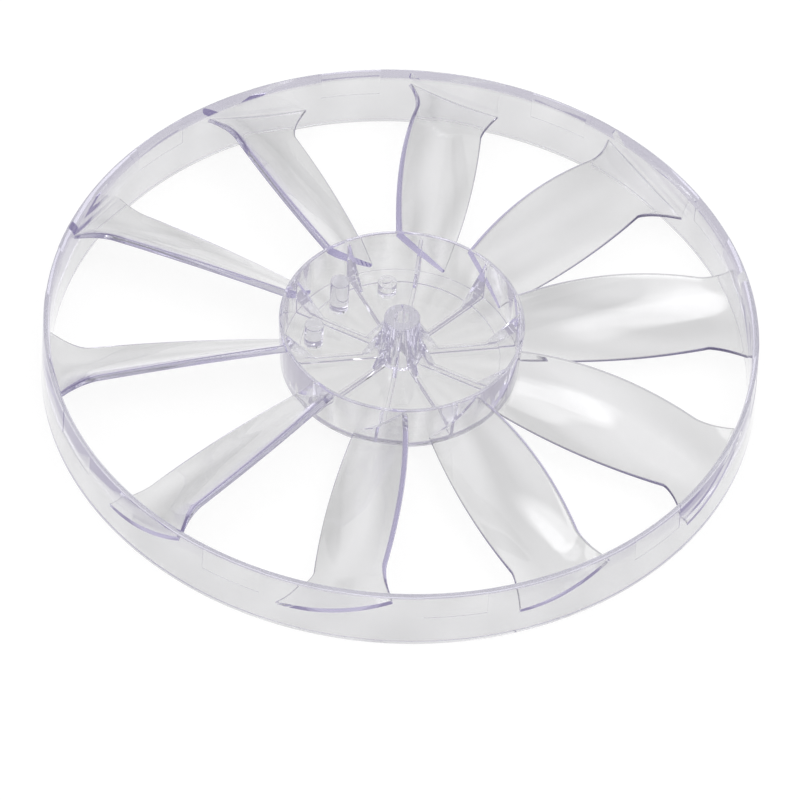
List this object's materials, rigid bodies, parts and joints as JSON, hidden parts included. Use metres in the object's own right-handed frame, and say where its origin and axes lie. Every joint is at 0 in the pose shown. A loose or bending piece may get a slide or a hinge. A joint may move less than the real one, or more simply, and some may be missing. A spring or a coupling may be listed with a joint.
{
  "type": "roof vent fan blade",
  "caption": "One-piece clear plastic axial fan wheel with pitched blades between a ribbed hub cup with a shaft boss and an outer ring, for a roof vent.",
  "frame": {"origin": "on the bore's axis, at the height of the ring's bottom edge", "axes": "+Z along the bore towards the boss's open top; -Y faces the viewer"},
  "size_m": [0.307, 0.307, 0.0334],
  "materials": {
    "clear_plastic": "polished clear moulding with a faint lavender tint"
  },
  "bodies": {
    "root": {"fan_blade": "clear_plastic"}
  },
  "joints": []
}
